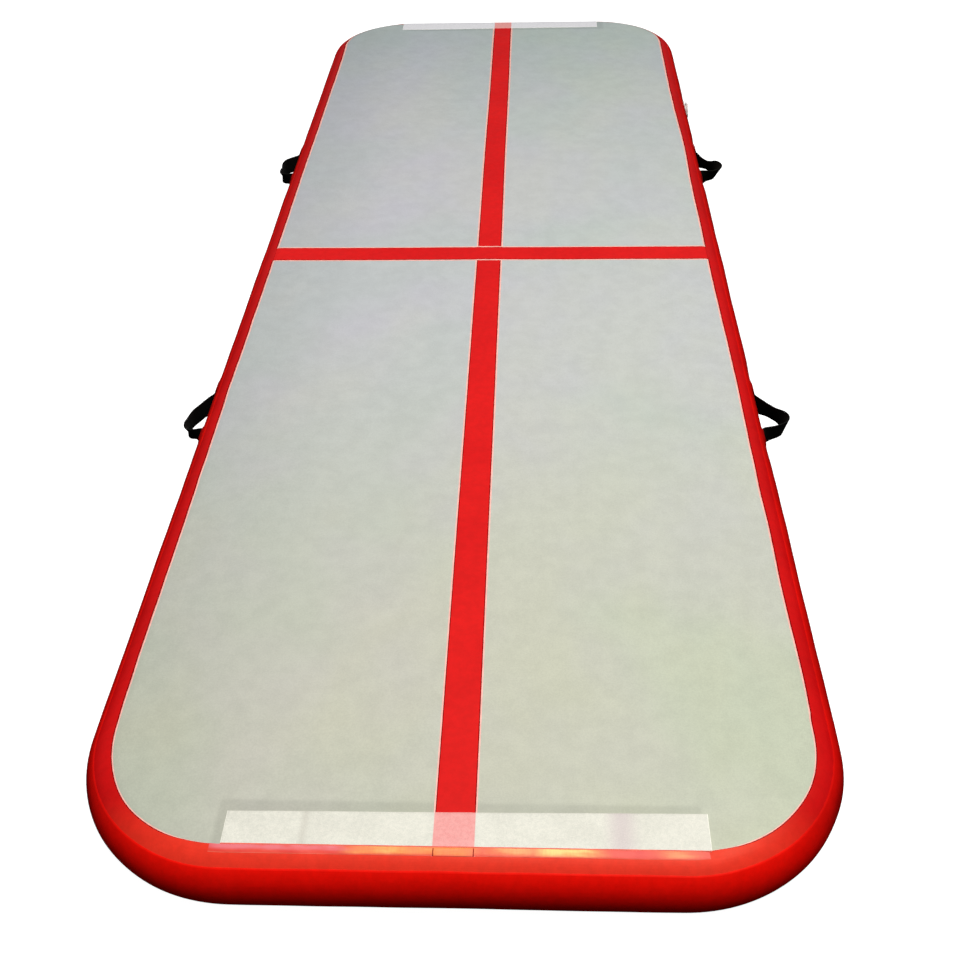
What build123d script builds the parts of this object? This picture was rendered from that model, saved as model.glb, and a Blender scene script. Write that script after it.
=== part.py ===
from build123d import *
import os
from math import radians, tan

# An air track mat: a drop-stitch air mattress for gymnastics. Millimetres.
# X runs across the mat, Y along it and Z up. The origin is on the floor, under the mat's middle.

# ---- Driving dimensions ----
LENGTH = 3000.0  # overall, over the side band
WIDTH = 1000.0
THICKNESS = 100.0  # between the flat faces of the two skins
PLAN_CORNER = 222.0  # radius of the outline's corners, over the side band

SKIN = 1.0  # coated drop-stitch fabric
TAPE = 0.7  # edge tapes
BAND = 0.9  # side band
STRIPE = 0.5  # film of the marking stripes
HOOK = 1.2  # the joining strips, with their hooks

# Angles down the rounded wall, from straight up at 0 to straight out at 90.
SKIN_EDGE = 48.0  # where the skin ends and the inner wall begins
TAPE_EDGE = 11.5  # upper edge of the edge tape
BAND_EDGE = 43.0  # upper edge of the side band
LAP_EDGE = 24.0  # the centre stripe and the hook strips lie over the edge tape down to here
LAP_STEP = 1.0  # the angle in which they climb on to the tape
TAPE_MEETING = 89.5  # the two edge tapes nearly meet at mid-height

STRIPE_WIDTH = 50.0
CROSS_WIDTH = 54.0
CROSS_Y = 9.0
HOOK_LENGTH = 587.0  # across the mat
HOOK_INNER = 1410.0  # distance of its inner edge from the middle
HOOK_SHIFT = {"front": 15.0, "rear": -10.0}  # the strips lie a little off the middle

YARN_PITCH = 150.0
YARN_RADIUS = 1.5
YARN_COLUMNS = 6
YARN_ROWS = 19

# Handles: each is a webbing loop that stands out from the wall at mid-height.
WEBBING = 2.4  # thickness
WEBBING_WIDTH = 40.0
HANDLE_SPAN = 104.0  # along the wall, from leg to leg
HANDLE_REACH = 46.0  # from the wall to the outside of the loop
HANDLE_TOP = 24.0  # length of the loop's outermost run
HANDLE_SKEW = -12.0  # the outermost run sits this far towards the front
HANDLE_BEND = 9.0  # radius of the loop's soft corners
HANDLE_SWING = 40.0  # degrees that the loop folds, up or down
BEND_OUT = 3.0  # the line about which it folds, out from the wall
ROOT_RADIUS = 20.0  # the webbing inside this radius of that line stays with the mat
FOOT_LENGTH = 34.0  # the webbing's ends along the wall
FOOT_PATCH = 0.9
PATCH_MARGIN = 11.0  # of the patch around the foot
HANDLE_Y = {"front": -520.0, "rear": 530.0}
RUN = 0.3  # clearance between parts that move past each other

# Valve: its axis runs straight out of the right wall at mid-height.
VALVE_Y = 887.0
VALVE_PATCH = 0.7
VALVE_PATCH_RADIUS = 36.0
FLANGE = 1.5
FLANGE_RADIUS = 25.0
BARREL_RADIUS = 15.0
BARREL_WALL = 1.8
BARREL_DEPTH = 24.0  # below the wall's surface
NECK = 3.8  # above the flange
SEAT_LIP = 3.2  # how far the seat reaches in from the barrel's wall
GUIDE_DEPTH = 11.0  # the stem's guide, below the wall's surface
GUIDE = 3.0
GUIDE_HUB = 5.0
GUIDE_ARMS = 3
GUIDE_ARM = 2.4  # width of each
VALVE_GASKET = 1.0
NUT_RADIUS = 21.0
NUT_DEPTH = 12.0
NUT_NOTCHES = 6
NUT_NOTCH = 2.1
RING = 1.0  # thickness of the tether's ring and strap
RING_WIDTH = 3.3
STRAP_RADIUS = 21.8  # of the tether's arc, at its middle
STRAP_WIDTH = 3.0
CAP_RADIUS = 19.0
CAP_HEIGHT = 4.4
CAP_WALL = 1.6
CAP_PLUG = 2.4  # thickness of the plug's wall
CAP_NOTCHES = 16
CAP_NOTCH = 0.9
CAP_GRIP = (26.0, 4.0, 0.8)  # the bar across its face: length, width, height
CAP_GASKET = 0.5
STEM_RADIUS = 2.2
STEM_FOOT_RADIUS = 4.4  # below the diaphragm
BUTTON_RADIUS = 5.0
BUTTON = 2.0
DIAPHRAGM_RADIUS = 12.0
DIAPHRAGM = 2.0
SPRING_WIRE = 0.8
SPRING_RADIUS = 3.8
SPRING_TURNS = 5

# ---- Worked out from them ----
MID = THICKNESS / 2
R_SKIN = THICKNESS / 2  # radii of the wall's layers about its own centre line
R_INNER = R_SKIN - SKIN
R_TAPE = R_SKIN + TAPE
R_WALL = R_TAPE + BAND
HALF_X = WIDTH / 2 - R_WALL  # the wall's centre line
HALF_Y = LENGTH / 2 - R_WALL
LINE_CORNER = PLAN_CORNER - R_WALL
CORE = 1.0  # inner radius of a shell that fills the wall
LEFT_RIGHT = {"left": -1, "right": 1}
FRONT_REAR = {"front": -1, "rear": 1}

os.makedirs("parts", exist_ok=True)


def save(part, name):
    part.label = name
    export_step(part, f"parts/{name}.step")


# ---- Shapes that follow the wall ----
def centre_line():
    """The closed line that the rounded wall follows, at mid-height."""
    with BuildSketch(Plane.XY.offset(MID)) as plan:
        RectangleRounded(2 * HALF_X, 2 * HALF_Y, LINE_CORNER)
    return plan.face().outer_wire()


def arc_band(inner, outer, start, end):
    """An arc band about the open sketch's origin, between two angles down from straight up."""
    with BuildLine() as outline:
        low = CenterArc((0, 0), inner, 90 - start, start - end)
        high = CenterArc((0, 0), outer, 90 - start, start - end)
        Line(low @ 0, high @ 0)
        Line(low @ 1, high @ 1)
    make_face(outline.edges())


def wall_band(inner, outer, start, end):
    """A band of the wall, swept all round the mat, in the open part."""
    section_plane = Plane(origin=(HALF_X, 0, MID), x_dir=(1, 0, 0), z_dir=(0, -1, 0))
    with BuildSketch(section_plane) as section:
        arc_band(inner, outer, start, end)
    sweep(section.sketch, path=centre_line())


def valve_hole():
    """Cuts the valve's hole through the right wall of the open part."""
    with BuildSketch(Plane.YZ.offset(HALF_X)) as hole:
        with Locations((VALVE_Y, MID)):
            Circle(BARREL_RADIUS)
    extrude(hole.sketch, amount=2 * R_WALL, mode=Mode.SUBTRACT)


def wall_shell(inner, outer, y, half_length):
    """A stretch of a round shell on the right wall, in the open part, from bottom to top."""
    with BuildSketch(Plane(origin=(HALF_X, y, MID), x_dir=(1, 0, 0), z_dir=(0, -1, 0))) as section:
        arc_band(inner, outer, 0, 180)
    extrude(section.sketch, amount=half_length, both=True)


# ---- The air chamber ----
def build_skin():
    """The top skin, with its rounded shoulder."""
    with BuildPart() as sheet:
        with BuildSketch(Plane.XY.offset(THICKNESS - SKIN)):
            RectangleRounded(2 * HALF_X, 2 * HALF_Y, LINE_CORNER)
        extrude(amount=SKIN)
        wall_band(R_INNER, R_SKIN, 0, SKIN_EDGE)
    return sheet.part


top_skin = build_skin()
save(top_skin, "top_skin")
save(mirror(top_skin, about=Plane.XY.offset(MID)), "bottom_skin")

with BuildPart() as inner_wall:
    wall_band(R_INNER, R_SKIN, SKIN_EDGE, 180 - SKIN_EDGE)
    valve_hole()
save(inner_wall.part, "inner_side_wall")

with BuildPart() as yarns:
    with BuildSketch(Plane.XY.offset(SKIN)):
        with GridLocations(YARN_PITCH, YARN_PITCH, YARN_COLUMNS, YARN_ROWS):
            Circle(YARN_RADIUS)
    extrude(amount=THICKNESS - 2 * SKIN)
save(yarns.part, "drop_stitch_yarns")

# ---- The red border ----
with BuildPart() as top_tape:
    wall_band(R_SKIN, R_TAPE, TAPE_EDGE, TAPE_MEETING)
    valve_hole()
save(top_tape.part, "top_edge_tape")

with BuildPart() as bottom_tape:
    wall_band(R_SKIN, R_TAPE, 180 - TAPE_MEETING, 180 - TAPE_EDGE)
    valve_hole()
save(bottom_tape.part, "bottom_edge_tape")

with BuildPart() as band:
    wall_band(R_TAPE, R_WALL, BAND_EDGE, 180 - BAND_EDGE)
    valve_hole()
save(band.part, "side_band")


# ---- Markings and joining strips on the top skin ----
def lapped_strip(low_x, high_x, start, film, lift=0):
    """Film from Y = start to the rear shoulder, where it climbs over the edge tape.

    The lift is the thickness of another film that lies under this one.
    """
    climb = TAPE_EDGE - (LAP_STEP if lift else 0)
    with BuildPart() as strip:
        shoulder = Plane(origin=(low_x, HALF_Y, MID), x_dir=(0, 1, 0), z_dir=(1, 0, 0))
        with BuildSketch(shoulder) as profile:
            with Locations((start - HALF_Y, R_SKIN + lift)):
                Rectangle(HALF_Y - start, film - lift, align=(Align.MIN, Align.MIN))
            arc_band(R_SKIN + lift, R_SKIN + film, 0, climb)
            arc_band(R_SKIN + lift, R_TAPE + film, climb - LAP_STEP, climb)
            arc_band(R_TAPE + lift, R_TAPE + film, climb, LAP_EDGE)
        extrude(profile.sketch, amount=high_x - low_x)
    return strip.part


STRIPE_EDGE = STRIPE_WIDTH / 2
rear_half = lapped_strip(-STRIPE_EDGE, STRIPE_EDGE, 0, STRIPE)
with BuildPart() as centre_stripe:
    add(rear_half)
    mirror(rear_half, about=Plane.XZ)
save(centre_stripe.part, "centre_stripe")

with BuildPart() as cross_stripe:
    with BuildSketch(Plane.XY.offset(THICKNESS)):
        with Locations((0, CROSS_Y)):
            Rectangle(2 * HALF_X, CROSS_WIDTH)
    extrude(amount=STRIPE)
    # The film is two deep only where it bridges the centre stripe.
    with BuildSketch(Plane.XY.offset(THICKNESS)):
        with Locations((0, CROSS_Y)):
            Rectangle(STRIPE_WIDTH + 2 * STRIPE, CROSS_WIDTH)
    extrude(amount=2 * STRIPE)
    for side in LEFT_RIGHT.values():
        edge = Plane(origin=(side * HALF_X, CROSS_Y, MID), x_dir=(side, 0, 0), z_dir=(0, -side, 0))
        with BuildSketch(edge) as profile:
            arc_band(R_SKIN, R_SKIN + STRIPE, 0, TAPE_EDGE)
        extrude(profile.sketch, amount=CROSS_WIDTH / 2, both=True)
    add(centre_stripe.part, mode=Mode.SUBTRACT)
save(cross_stripe.part, "cross_stripe")

# The hook strips' ends reach the outline's corners, so they lap over the tape only between these.
STRAIGHT = HALF_X - LINE_CORNER
with BuildPart() as rear_lap:
    add(lapped_strip(-STRAIGHT, -STRIPE_EDGE, HOOK_INNER, HOOK))
    add(lapped_strip(-STRIPE_EDGE, STRIPE_EDGE, HOOK_INNER, HOOK, lift=STRIPE))
    add(lapped_strip(STRIPE_EDGE, STRAIGHT, HOOK_INNER, HOOK))
laps = {"front": mirror(rear_lap.part, about=Plane.XZ), "rear": rear_lap.part}
for end, shift in HOOK_SHIFT.items():
    with BuildPart() as hook_strip:
        with BuildSketch(Plane.XY.offset(THICKNESS)):
            middle_y = FRONT_REAR[end] * (HOOK_INNER + HALF_Y) / 2
            with Locations((shift, middle_y)):
                Rectangle(HOOK_LENGTH, HALF_Y - HOOK_INNER)
            with Locations((0, middle_y)):
                Rectangle(STRIPE_WIDTH, HALF_Y - HOOK_INNER, mode=Mode.SUBTRACT)
        extrude(amount=HOOK)
        add(laps[end])
    save(hook_strip.part, f"{end}_hook_strip")


# ---- Handles, made once on the right wall at Y = 0 ----
WALL_X = WIDTH / 2
BEND_X = WALL_X + BEND_OUT


def webbing_loop():
    """The whole loop of webbing, from inside the wall out and back, in the open part."""
    half = HANDLE_SPAN / 2
    out = WALL_X + HANDLE_REACH - WEBBING / 2
    inside = HALF_X + R_SKIN / 2  # cut away later, at the wall's surface
    slope = (out - inside) / (out - WALL_X)
    far = HANDLE_SKEW + HANDLE_TOP / 2
    near = HANDLE_SKEW - HANDLE_TOP / 2
    far_root = far + (half - far) * slope
    near_root = near - (half + near) * slope
    corners = ((inside, far_root), (out, far), (out, near), (inside, near_root))
    with BuildSketch(Plane.XY.offset(MID - WEBBING_WIDTH / 2)) as plan:
        with BuildLine() as run:
            FilletPolyline(*corners, radius=HANDLE_BEND)
        trace(run.line, line_width=WEBBING)
    extrude(plan.sketch, amount=WEBBING_WIDTH)


def bend_section():
    """The plane across the bend line, with the line at its origin and X out from the mat."""
    return Plane(origin=(BEND_X, 0, MID), x_dir=(1, 0, 0), z_dir=(0, -1, 0))


with BuildPart() as loop:
    webbing_loop()
    # The loop starts beyond the roots and inside a wedge that can swing without meeting the wall.
    reach = 2 * HANDLE_REACH
    rise = reach * tan(radians(90 - HANDLE_SWING))
    with BuildSketch(bend_section()) as swinging:
        Polygon((0, 0), (reach, -rise), (reach, rise), align=None)
        Circle(ROOT_RADIUS + RUN, mode=Mode.SUBTRACT)
    extrude(swinging.sketch, amount=HANDLE_SPAN, both=True, mode=Mode.INTERSECT)

with BuildPart() as roots:
    webbing_loop()
    with BuildSketch(bend_section()) as staying:
        Circle(ROOT_RADIUS)
    extrude(staying.sketch, amount=HANDLE_SPAN, both=True, mode=Mode.INTERSECT)

FOOT_START = HANDLE_SPAN / 2 - WEBBING
with BuildPart() as foot:
    # One end of the webbing, flat on the wall and running away from the loop.
    wall_shell(R_WALL, R_WALL + WEBBING, FOOT_START + FOOT_LENGTH / 2, FOOT_LENGTH / 2)
    with BuildSketch(Plane.YZ.offset(HALF_X)) as outline:
        with Locations((FOOT_START + FOOT_LENGTH / 2, MID)):
            Rectangle(FOOT_LENGTH, WEBBING_WIDTH)
    extrude(outline.sketch, amount=2 * R_WALL, mode=Mode.INTERSECT)

with BuildPart() as wall_core:
    wall_shell(CORE, R_WALL, 0, HANDLE_SPAN)

with BuildPart() as feet:
    add(roots.part)
    add(foot.part)
    mirror(foot.part, about=Plane.XZ)
    add(wall_core.part, mode=Mode.SUBTRACT)

PATCH_LENGTH = FOOT_LENGTH - WEBBING + PATCH_MARGIN
with BuildPart() as patch:
    # The patch over a foot, from just beyond the loop's leg to past the foot's end.
    patch_middle = HANDLE_SPAN / 2 + WEBBING + PATCH_LENGTH / 2
    wall_shell(R_WALL, R_WALL + WEBBING + FOOT_PATCH, patch_middle, PATCH_LENGTH / 2)
    with BuildSketch(Plane.YZ.offset(HALF_X)) as outline:
        with Locations((patch_middle, MID)):
            RectangleRounded(PATCH_LENGTH, WEBBING_WIDTH + 2 * PATCH_MARGIN, PATCH_MARGIN)
    extrude(outline.sketch, amount=2 * R_WALL, mode=Mode.INTERSECT)

with BuildPart() as patches:
    add(patch.part)
    mirror(patch.part, about=Plane.XZ)
    add(feet.part, mode=Mode.SUBTRACT)

for side, sign in LEFT_RIGHT.items():
    for end, y in HANDLE_Y.items():
        for piece, name in ((loop, "loop"), (feet, "feet"), (patches, "patches")):
            placed = Pos(0, y, 0) * piece.part
            if sign < 0:
                placed = mirror(placed, about=Plane.YZ)
            save(placed, f"{side}_{end}_handle_{name}")

# ---- Valve, about its axis out of the right wall. Depths are measured out from the wall's surface ----
VALVE_FACE = Plane(origin=(WALL_X, VALVE_Y, MID), x_dir=(0, 1, 0), z_dir=(1, 0, 0))
VALVE_AXIS = Axis((WALL_X, VALVE_Y, MID), (1, 0, 0))
HALF_SECTION = Plane(origin=(WALL_X, VALVE_Y, MID), x_dir=(0, 1, 0), z_dir=(0, 0, -1))
FLANGE_TOP = VALVE_PATCH + FLANGE
NECK_TOP = FLANGE_TOP + NECK
RING_BASE = FLANGE_TOP + RUN
CAP_BASE = RING_BASE + RING + RUN
CAP_TOP = CAP_BASE + CAP_HEIGHT
CAP_CEILING = CAP_TOP - CAP_WALL
BORE_RADIUS = BARREL_RADIUS - BARREL_WALL
GUIDE_TOP = -GUIDE_DEPTH
BUTTON_TOP = BUTTON / 2
SEAT = -BARREL_DEPTH
STEM_END = SEAT - 2 * DIAPHRAGM
FIT = 0.05  # between faces that seal or slide on each other


def turn(*profiles, mode=Mode.ADD):
    """Rings and discs in the open part, each given as inner radius, outer radius, bottom and top."""
    with BuildSketch(HALF_SECTION) as section:
        for inner, outer, bottom, top in profiles:
            with Locations((inner, bottom)):
                Rectangle(outer - inner, top - bottom, align=(Align.MIN, Align.MIN))
    revolve(section.sketch, axis=VALVE_AXIS, mode=mode)


def round_shell(inner, outer, radius, hole):
    """A round piece that lies on the wall's curve about the valve, with a hole, in the open part."""
    wall_shell(inner, outer, VALVE_Y, radius)
    with BuildSketch(VALVE_FACE.offset(-WALL_X / 2)) as disc:
        Circle(radius)
        Circle(hole, mode=Mode.SUBTRACT)
    extrude(disc.sketch, amount=WALL_X, mode=Mode.INTERSECT)


with BuildPart() as valve_patch:
    round_shell(R_WALL, R_WALL + VALVE_PATCH, VALVE_PATCH_RADIUS, BARREL_RADIUS)
save(valve_patch.part, "valve_patch")

with BuildPart() as valve_gasket:
    round_shell(R_INNER - VALVE_GASKET, R_INNER, NUT_RADIUS, BARREL_RADIUS)
save(valve_gasket.part, "valve_gasket")

with BuildPart() as valve_body:
    round_shell(R_WALL + VALVE_PATCH, R_WALL + FLANGE_TOP, FLANGE_RADIUS, BORE_RADIUS)
    turn(
        (BORE_RADIUS, BARREL_RADIUS, SEAT, NECK_TOP),
        (BORE_RADIUS - SEAT_LIP, BARREL_RADIUS, SEAT, SEAT + BARREL_WALL),
        (STEM_RADIUS + FIT, GUIDE_HUB, GUIDE_TOP - GUIDE, GUIDE_TOP),
    )
    with BuildSketch(VALVE_FACE.offset(GUIDE_TOP - GUIDE)) as arms:
        with PolarLocations((GUIDE_HUB + BORE_RADIUS) / 2, GUIDE_ARMS):
            Rectangle(BORE_RADIUS - GUIDE_HUB + BARREL_WALL, GUIDE_ARM)
    extrude(arms.sketch, amount=GUIDE)
save(valve_body.part, "valve_body")

with BuildPart() as nut:
    wall_shell(CORE, R_INNER - VALVE_GASKET, VALVE_Y, NUT_RADIUS)
    with BuildSketch(VALVE_FACE.offset(-NUT_DEPTH)) as ring:
        Circle(NUT_RADIUS)
        Circle(BARREL_RADIUS, mode=Mode.SUBTRACT)
        with PolarLocations(NUT_RADIUS, NUT_NOTCHES):
            Circle(NUT_NOTCH, mode=Mode.SUBTRACT)
    extrude(ring.sketch, amount=NUT_DEPTH, mode=Mode.INTERSECT)
save(nut.part, "valve_nut")

with BuildPart() as stem:
    turn(
        (0, STEM_RADIUS, STEM_END, BUTTON_TOP),
        (0, BUTTON_RADIUS, BUTTON_TOP - BUTTON, BUTTON_TOP),
        (0, STEM_FOOT_RADIUS, STEM_END, SEAT - DIAPHRAGM - FIT),
    )
save(stem.part, "valve_stem")

with BuildPart() as diaphragm:
    turn((STEM_RADIUS, DIAPHRAGM_RADIUS, SEAT - DIAPHRAGM - FIT, SEAT - FIT))
save(diaphragm.part, "valve_diaphragm")

with BuildPart() as spring:
    # Between the guide and the button's underside.
    rise = BUTTON_TOP - BUTTON - GUIDE_TOP - SPRING_WIRE - 2 * FIT
    start = WALL_X + GUIDE_TOP + SPRING_WIRE / 2 + FIT
    with BuildLine() as coil:
        Helix(rise / SPRING_TURNS, rise, SPRING_RADIUS, center=(start, VALVE_Y, MID), direction=(1, 0, 0))
    with BuildSketch(Plane(origin=coil.line @ 0, z_dir=coil.line % 0)) as wire:
        Circle(SPRING_WIRE / 2)
    sweep(wire.sketch, path=coil.line, is_frenet=True)
save(spring.part, "valve_spring")

with BuildPart() as ring:
    turn((BARREL_RADIUS + RUN, BARREL_RADIUS + RUN + RING_WIDTH, RING_BASE, RING_BASE + RING))
save(ring.part, "tether_ring")

with BuildPart() as strap:
    # Out from the ring, half round the cap and up to its side.
    ring_edge = BARREL_RADIUS + RUN + RING_WIDTH
    strap_edge = STRAP_RADIUS + STRAP_WIDTH / 2
    with BuildSketch(VALVE_FACE.offset(RING_BASE)) as flat:
        Circle(strap_edge)
        Circle(STRAP_RADIUS - STRAP_WIDTH / 2, mode=Mode.SUBTRACT)
        with Locations((0, -STRAP_RADIUS)):
            Rectangle(2 * strap_edge, 2 * STRAP_RADIUS, mode=Mode.SUBTRACT)
        with Locations(((ring_edge + strap_edge) / 2, 0)):
            Rectangle(strap_edge - ring_edge, STRAP_WIDTH)
    extrude(flat.sketch, amount=RING)
    with BuildSketch(VALVE_FACE.offset(RING_BASE)) as riser:
        with Locations((-STRAP_RADIUS, 0)):
            Rectangle(STRAP_WIDTH, STRAP_WIDTH)
    extrude(riser.sketch, amount=CAP_TOP - RING - RING_BASE)
    with BuildSketch(VALVE_FACE.offset(CAP_TOP - 2 * RING)) as tab:
        with Locations((-(CAP_RADIUS + RUN + strap_edge) / 2, 0)):
            Rectangle(strap_edge - CAP_RADIUS - RUN, STRAP_WIDTH)
    extrude(tab.sketch, amount=RING)
    turn((0, ring_edge, RING_BASE - RING, CAP_TOP), mode=Mode.SUBTRACT)
save(strap.part, "tether_strap")

with BuildPart() as cap:
    turn(
        (0, CAP_RADIUS, CAP_CEILING, CAP_TOP),
        (BARREL_RADIUS + RUN, CAP_RADIUS, CAP_BASE, CAP_CEILING),
        (BORE_RADIUS - RUN - CAP_PLUG, BORE_RADIUS - RUN, FLANGE_TOP, CAP_CEILING),
    )
    rim = cap.edges().filter_by(GeomType.CIRCLE).sort_by(Axis.X)[-1]
    fillet(rim, radius=CAP_WALL / 2)
    with BuildSketch(VALVE_FACE.offset(CAP_TOP - CAP_WALL / 2)) as grip:
        SlotOverall(CAP_GRIP[0], CAP_GRIP[1])
    extrude(grip.sketch, amount=CAP_WALL / 2 + CAP_GRIP[2])
    with BuildSketch(VALVE_FACE.offset(CAP_BASE)) as notches:
        with PolarLocations(CAP_RADIUS, CAP_NOTCHES, start_angle=180 / CAP_NOTCHES):
            Circle(CAP_NOTCH)
    extrude(notches.sketch, amount=CAP_HEIGHT, mode=Mode.SUBTRACT)
save(cap.part, "valve_cap")

with BuildPart() as cap_gasket:
    turn((BORE_RADIUS - RUN, BARREL_RADIUS, CAP_CEILING - CAP_GASKET, CAP_CEILING))
save(cap_gasket.part, "cap_gasket")
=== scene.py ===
import bmesh
import bpy
import numpy as np
from math import cos, pi, radians, sin, sqrt, tau
from mathutils import Matrix, Vector


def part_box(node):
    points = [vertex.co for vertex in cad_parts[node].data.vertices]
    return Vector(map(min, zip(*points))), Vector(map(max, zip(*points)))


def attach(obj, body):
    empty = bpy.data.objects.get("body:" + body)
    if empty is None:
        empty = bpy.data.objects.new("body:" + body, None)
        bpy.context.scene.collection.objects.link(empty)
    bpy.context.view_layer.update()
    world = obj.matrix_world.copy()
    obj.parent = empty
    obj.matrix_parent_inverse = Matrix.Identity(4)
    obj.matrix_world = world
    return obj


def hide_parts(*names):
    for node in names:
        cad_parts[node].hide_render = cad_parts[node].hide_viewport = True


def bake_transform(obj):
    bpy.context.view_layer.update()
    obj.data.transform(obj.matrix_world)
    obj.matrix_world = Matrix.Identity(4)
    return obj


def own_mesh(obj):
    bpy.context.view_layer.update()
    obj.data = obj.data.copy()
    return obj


# An air track mat: the looks of the object whose CAD model is loaded here. Metres.
# X runs across the mat, Y along it and Z up from the floor.

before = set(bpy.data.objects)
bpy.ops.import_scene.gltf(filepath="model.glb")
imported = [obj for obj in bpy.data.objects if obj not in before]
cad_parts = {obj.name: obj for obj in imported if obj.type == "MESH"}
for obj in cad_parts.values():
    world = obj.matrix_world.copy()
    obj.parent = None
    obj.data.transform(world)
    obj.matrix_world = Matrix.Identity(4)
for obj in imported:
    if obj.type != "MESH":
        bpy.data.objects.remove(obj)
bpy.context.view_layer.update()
MM = 0.001

# ---- Sizes that the CAD model has, from its boxes and its layers ----
BAND_LOW, BAND_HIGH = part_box("side_band")
SKIN_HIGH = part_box("top_skin")[1]
MID = (BAND_LOW[2] + BAND_HIGH[2]) / 2
SKIN = 1.0 * MM
TAPE = 0.7 * MM
BAND = 0.9 * MM
STRIPE = 0.5 * MM
HOOK = 1.2 * MM
R_SKIN = SKIN_HIGH[2] - MID  # radii of the rounded wall's layers
R_TAPE = R_SKIN + TAPE
R_WALL = R_TAPE + BAND
HALF_X = BAND_HIGH[0] - R_WALL  # the wall's centre line
HALF_Y = round(BAND_HIGH[1], 3) - R_WALL
OUTER_CORNER = 222 * MM  # round the mat's widest line
LINE_CORNER = OUTER_CORNER - R_WALL
STRAIGHT = HALF_X - LINE_CORNER
WALL_X = HALF_X + R_WALL
HANDLE_Y = {"front": -0.520, "rear": 0.530}
LEFT_RIGHT = {"left": -1, "right": 1}
FRONT_REAR = {"front": -1, "rear": 1}
WEBBING = 2.4 * MM
WEBBING_WIDTH = 40 * MM

# Degrees down the rounded wall, from straight up at 0 to straight out at 90.
SKIN_EDGE = 48.0
TAPE_EDGE = 11.5
BAND_EDGE = 43.0
LAP_EDGE = 24.0
TAPE_MEETING = 89.5
SIDE_EDGE = TAPE_EDGE + 1.7  # the tape is laid a little further out along the sides
END_EDGE = {"front": TAPE_EDGE, "rear": 20.0}  # and well over the shoulder at the rear


# ---- Smooth unevenness ----
def waves(points, length, seed, count=7):
    """Smooth noise from about -1 to 1 at the points, with features about as long as given."""
    random = np.random.default_rng(seed)
    turns = random.uniform(0, tau, count)
    sizes = random.uniform(0.6, 1.5, count) * tau / length
    starts = random.uniform(0, tau, count)
    total = np.zeros(len(points))
    for turn, size, start in zip(turns, sizes, starts):
        along = points[:, 0] * cos(turn) + points[:, 1] * sin(turn)
        total += np.sin(along * size + start)
    return total / sqrt(count)


DIPS = ((0.22 * MM, 0.42), (0.10 * MM, 0.13), (0.05 * MM, 0.045))  # depth and length of each kind
MEAN_SAG = 0.40 * MM
SAG_FADE = 30 * MM


def relief(x, y):
    """How far the top skin sags between its yarns and creases, below its flat face."""
    flat = np.stack([np.ravel(x), np.ravel(y)], axis=1)
    total = np.full(len(flat), -MEAN_SAG)
    for seed, (depth, length) in enumerate(DIPS, start=1):
        total += depth * waves(flat, length, seed)
    for start, end, depth in CREASES:
        total -= depth * crease(flat, np.array(start), np.array(end))
    return np.minimum(total, 0).reshape(np.shape(x))


# Folds left from packing the mat, as lines on the skin: two ends and a depth.
CREASES = (
    ((-0.36, -0.98), (-0.27, -1.10), 0.5 * MM),
    ((-0.33, -0.30), (-0.24, -0.36), 0.5 * MM),
    ((0.16, 0.42), (0.33, 0.20), 0.4 * MM),
    ((0.10, -0.62), (0.21, -0.70), 0.35 * MM),
    ((-0.20, 0.72), (-0.08, 0.80), 0.35 * MM),
)
CREASE_WIDTH = 9 * MM


def crease(flat, start, end):
    """1 on the line from start to end, falling to 0 beside it and past its ends."""
    run = end - start
    share = np.clip((flat - start) @ run / (run @ run), 0, 1)
    off = np.linalg.norm(flat - start - share[:, None] * run, axis=1)
    return np.exp(-((off / CREASE_WIDTH) ** 2)) * np.sin(pi * np.clip(share, 0.02, 0.98))


def sag(x, y):
    """The relief, faded out towards the rounded wall."""
    fade = np.minimum(HALF_X - np.abs(x), HALF_Y - np.abs(y)) / SAG_FADE
    return relief(x, y) * np.clip(fade, 0, 1)


# ---- Meshes ----
def quads(rows, columns, round_rows=False, round_columns=False):
    """Faces of a grid of points, joined across its ends where it goes round."""
    row = np.arange(rows if round_rows else rows - 1)
    column = np.arange(columns if round_columns else columns - 1)
    row, column = np.meshgrid(row, column, indexing="ij")
    next_row = (row + 1) % rows
    next_column = (column + 1) % columns
    corners = (
        row * columns + column,
        next_row * columns + column,
        next_row * columns + next_column,
        row * columns + next_column,
    )
    return np.stack([corner.ravel() for corner in corners], axis=1)


def rim_of(rows, columns):
    """The outermost points of such a grid, in order round it."""
    index = np.arange(rows * columns).reshape(rows, columns)
    return np.concatenate([index[:, 0], index[-1, 1:], index[-2::-1, -1], index[0, -2:0:-1]])


def placed(name, data):
    """A new object in the scene with that mesh, light or lens."""
    thing = bpy.data.objects.new(name, data)
    bpy.context.scene.collection.objects.link(thing)
    return thing


def fill(mesh, solid, sharp=40):
    """Puts the solid into the mesh, with its faces outward and smooth but for its sharp edges."""
    bmesh.ops.recalc_face_normals(solid, faces=solid.faces)
    solid.to_mesh(mesh)
    solid.free()
    mesh.shade_smooth()
    mesh.set_sharp_from_angle(angle=radians(sharp))


def make_piece(name, points, faces, materials, kinds=None, sharp=40):
    """A mesh object with its faces turned outward, and its kinds of face as material slots."""
    mesh = bpy.data.meshes.new(name)
    mesh.from_pydata(np.asarray(points).reshape(-1, 3).tolist(), [], [list(face) for face in faces])
    for material in materials:
        mesh.materials.append(material)
    if kinds is not None:
        mesh.polygons.foreach_set("material_index", np.asarray(kinds, dtype=np.int32))
    solid = bmesh.new()
    solid.from_mesh(mesh)
    fill(mesh, solid, sharp)
    return placed(name, mesh)


def settle(piece, body, node):
    """Hangs a piece on the body it rides on and hides the CAD node it stands for."""
    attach(piece, body)
    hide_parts(node)
    return piece


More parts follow.
